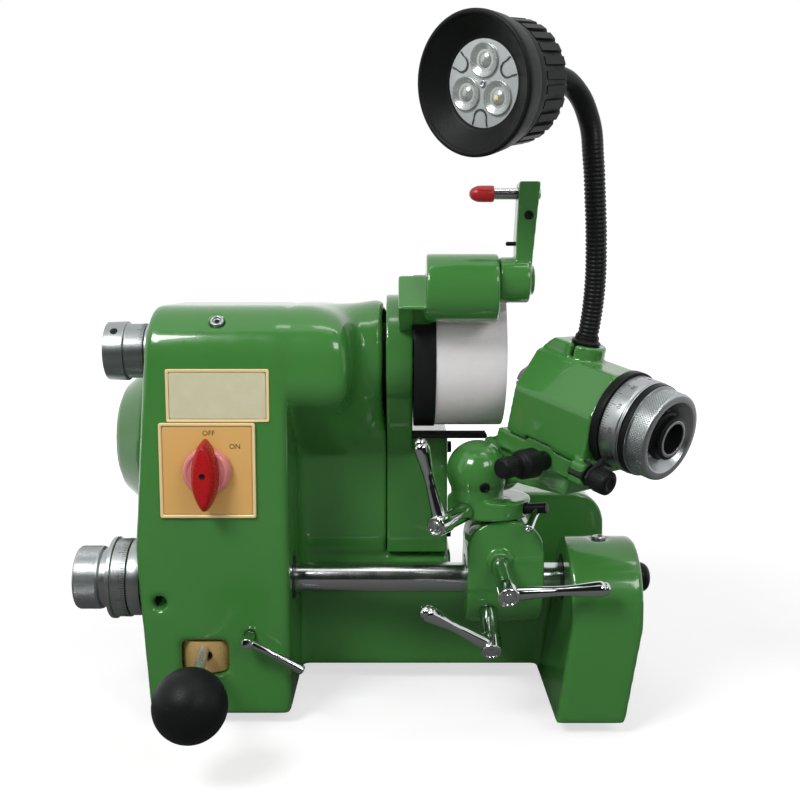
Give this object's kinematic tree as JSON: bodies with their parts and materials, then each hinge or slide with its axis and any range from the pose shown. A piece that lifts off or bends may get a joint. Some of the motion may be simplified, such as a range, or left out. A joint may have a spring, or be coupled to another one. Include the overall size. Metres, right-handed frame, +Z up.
{
  "type": "universal tool and cutter grinder",
  "caption": "Bench tool and cutter grinder: cast base, belt-driven white wheel, indexing work head on a guide bar, wheel dresser and gooseneck lamp.",
  "frame": {"origin": "on the bench, at the centre of the four bolt holes under the feet", "axes": "+X to the operator's right along the spindle and the guide bar, +Y away from the operator, +Z up"},
  "size_m": [0.3897, 0.3384, 0.4287],
  "materials": {
    "green_casting": "gloss green enamel",
    "green_cover": "gloss green enamel",
    "steel": "ground",
    "chrome": "polished chrome",
    "aluminium": "satin",
    "black_plastic": "satin black",
    "black_oxide": "black oxide",
    "red_plastic": "gloss red",
    "gold_plate": "printed gold",
    "brass": "machined",
    "wheel_white": "vitrified white grit",
    "belt_rubber": "matt",
    "lens": "clear lenses on a pale board"
  },
  "bodies": {
    "machine": {"base_casting": "green_casting", "foot_pads": "brass", "wheelhead_casting": "green_casting", "belt_cover": "green_cover", "cover_screws": "black_oxide", "spark_lip": "black_oxide", "motor_body": "green_cover", "motor_cowl": "green_cover", "drive_belt": "belt_rubber", "cable_gland": "black_plastic", "feed_collar": "steel", "guide_bushes": "brass", "stop_collar": "aluminium", "dresser_bracket": "green_casting", "switch_plate": "gold_plate", "switch_body": "black_plastic", "nameplate": "gold_plate", "oil_caps": "black_oxide"},
    "motor": {"motor_rotor": "steel"},
    "quill": {"quill": "steel", "spindle_bearings": "steel"},
    "grinding_spindle": {"spindle": "steel", "wheel_hub": "black_oxide", "grinding_wheel": "wheel_white", "wheel_nut": "steel"},
    "feed_knob": {"feed_knob": "aluminium"},
    "guide_bar": {"guide_bar": "steel"},
    "ball_lever": {"lever_drum": "brass", "lever_rod": "steel", "ball_knob": "black_plastic"},
    "stop_knob": {"stop_knob": "aluminium"},
    "stop_screw": {"stop_screw": "steel"},
    "bracket_bush": {"bracket_bush": "steel"},
    "bracket": {"bar_bracket": "green_casting"},
    "rock_lever": {"rock_lever": "chrome"},
    "slide_lever": {"slide_lever": "chrome"},
    "swivel": {"swivel_block": "green_casting"},
    "swivel_lever": {"swivel_lever": "chrome"},
    "knuckle_lever": {"knuckle_lever": "chrome"},
    "tilt": {"tilt_arm": "green_casting", "cross_slide": "green_casting"},
    "slide_screw": {"slide_screw": "black_oxide"},
    "head": {"head_body": "green_casting"},
    "index_plunger": {"index_plunger": "black_oxide"},
    "index": {"index_spindle": "steel", "index_ring": "black_oxide", "scale_ring": "aluminium", "handwheel": "aluminium", "collet": "steel"},
    "drawbar": {"drawbar": "black_oxide"},
    "lamp": {"lamp_stem": "steel", "gooseneck": "black_plastic", "lamp_shell": "black_plastic", "lamp_bezel": "black_plastic", "led_module": "lens"},
    "dresser": {"dresser_arm": "green_casting"},
    "diamond": {"diamond_holder": "steel", "diamond_cap": "red_plastic"},
    "switch": {"switch_handle": "red_plastic"},
    "column_lever": {"column_lever": "chrome"}
  },
  "joints": [
    {"name": "motor_spin", "type": "hinge", "parent": "machine", "child": "motor", "pos_m": [-0.1, 0.075, 0.164], "axis": [1, 0, 0], "continuous": true},
    {"name": "quill_feed", "type": "slide", "parent": "machine", "child": "quill", "axis": [1, 0, 0], "range_m": [0, 0.005]},
    {"name": "spindle_spin", "type": "hinge", "parent": "quill", "child": "grinding_spindle", "pos_m": [-0.06, -0.025, 0.238], "axis": [1, 0, 0], "continuous": true},
    {"name": "feed_turn", "type": "hinge", "parent": "machine", "child": "feed_knob", "pos_m": [-0.18, -0.025, 0.238], "axis": [1, 0, 0], "range_deg": [0, 900]},
    {"name": "bar_slide", "type": "slide", "parent": "machine", "child": "guide_bar", "axis": [1, 0, 0], "range_m": [-0.003, 0.005]},
    {"name": "lever_swing", "type": "hinge", "parent": "machine", "child": "ball_lever", "pos_m": [-0.125, -0.07, 0.046], "axis": [0, 0, 1], "range_deg": [-20, 12]},
    {"name": "stop_turn", "type": "hinge", "parent": "machine", "child": "stop_knob", "pos_m": [-0.19, -0.055, 0.089], "axis": [1, 0, 0], "range_deg": [-1080, 1080]},
    {"name": "stop_advance", "type": "slide", "parent": "machine", "child": "stop_screw", "axis": [1, 0, 0], "range_m": [-0.00301, 0.00301]},
    {"name": "bracket_slide", "type": "slide", "parent": "guide_bar", "child": "bracket_bush", "axis": [1, 0, 0], "range_m": [0, 0.008]},
    {"name": "bracket_rock", "type": "hinge", "parent": "bracket_bush", "child": "bracket", "pos_m": [0.067, -0.055, 0.089], "axis": [1, 0, 0], "range_deg": [-2, 25]},
    {"name": "rock_clamp", "type": "hinge", "parent": "bracket", "child": "rock_lever", "pos_m": [0.0636, -0.088, 0.107], "axis": [0.0501, -0.9614, -0.2704], "range_deg": [-15, 25]},
    {"name": "slide_clamp", "type": "hinge", "parent": "bracket", "child": "slide_lever", "pos_m": [0.057, -0.07951, 0.0735], "axis": [0, -0.8453, -0.5344], "range_deg": [-25, 15]},
    {"name": "head_swivel", "type": "hinge", "parent": "bracket", "child": "swivel", "pos_m": [0.058, -0.062, 0.14], "axis": [0, 0, 1], "range_deg": [-12, 15]},
    {"name": "swivel_clamp", "type": "hinge", "parent": "swivel", "child": "swivel_lever", "pos_m": [0.04175, -0.08356, 0.1403], "axis": [-0.5988, -0.7947, -0.0995], "range_deg": [-15, 15]},
    {"name": "knuckle_clamp", "type": "hinge", "parent": "swivel", "child": "knuckle_lever", "pos_m": [0.08126, -0.0757, 0.1403], "axis": [0.8521, -0.5019, 0.1483], "range_deg": [-20, 0]},
    {"name": "head_tilt", "type": "hinge", "parent": "swivel", "child": "tilt", "pos_m": [0.05, -0.07, 0.164], "axis": [0.7373, 0.6756, 0], "range_deg": [0, 12]},
    {"name": "slide_turn", "type": "hinge", "parent": "tilt", "child": "slide_screw", "pos_m": [0.07801, -0.11195, 0.17663], "axis": [0.7373, 0.6756, 0], "range_deg": [-1440, 1440]},
    {"name": "head_slide", "type": "slide", "parent": "tilt", "child": "head", "axis": [0.7373, 0.6756, 0], "range_m": [-0.002, 0.008]},
    {"name": "plunger_pull", "type": "slide", "parent": "head", "child": "index_plunger", "axis": [0.6575, -0.7175, -0.23], "range_m": [0, 0.005], "stiffness_N_per_m": 600, "springref_m": -0.004},
    {"name": "index_turn", "type": "hinge", "parent": "head", "child": "index", "pos_m": [0.11495, -0.09305, 0.2102], "axis": [0.6575, -0.7175, -0.23], "continuous": true},
    {"name": "drawbar_turn", "type": "hinge", "parent": "index", "child": "drawbar", "pos_m": [0.15308, -0.13467, 0.19685], "axis": [0.6575, -0.7175, -0.23], "range_deg": [0, 720]},
    {"name": "lamp_turn", "type": "hinge", "parent": "head", "child": "lamp", "pos_m": [0.11397, -0.09198, 0.24753], "axis": [0.1554, -0.1696, 0.9732], "range_deg": [-20, 60]},
    {"name": "dresser_swing", "type": "hinge", "parent": "machine", "child": "dresser", "pos_m": [0.07, -0.087, 0.286], "axis": [-1, 0, 0], "range_deg": [0, 70]},
    {"name": "diamond_slide", "type": "slide", "parent": "dresser", "child": "diamond", "axis": [1, 0, 0], "range_m": [-0.006, 0.006]},
    {"name": "switch_turn", "type": "hinge", "parent": "machine", "child": "switch", "pos_m": [-0.12, -0.1, 0.168], "axis": [0, -1, 0], "range_deg": [-45, 0]},
    {"name": "column_clamp", "type": "hinge", "parent": "machine", "child": "column_lever", "pos_m": [-0.0955, -0.095, 0.061], "axis": [0, -1, 0], "range_deg": [-30, 15]}
  ],
  "couplings": [
    {"joint": "spindle_spin", "follows": "motor_spin", "ratio": 1.875},
    {"joint": "feed_turn", "follows": "quill_feed", "rad_per_m": 3141.6},
    {"joint": "lever_swing", "follows": "bar_slide", "rad_per_m": -66.67},
    {"joint": "stop_advance", "follows": "stop_turn", "m_per_rad": 0.00015915},
    {"joint": "slide_turn", "follows": "head_slide", "rad_per_m": 3141.6}
  ]
}
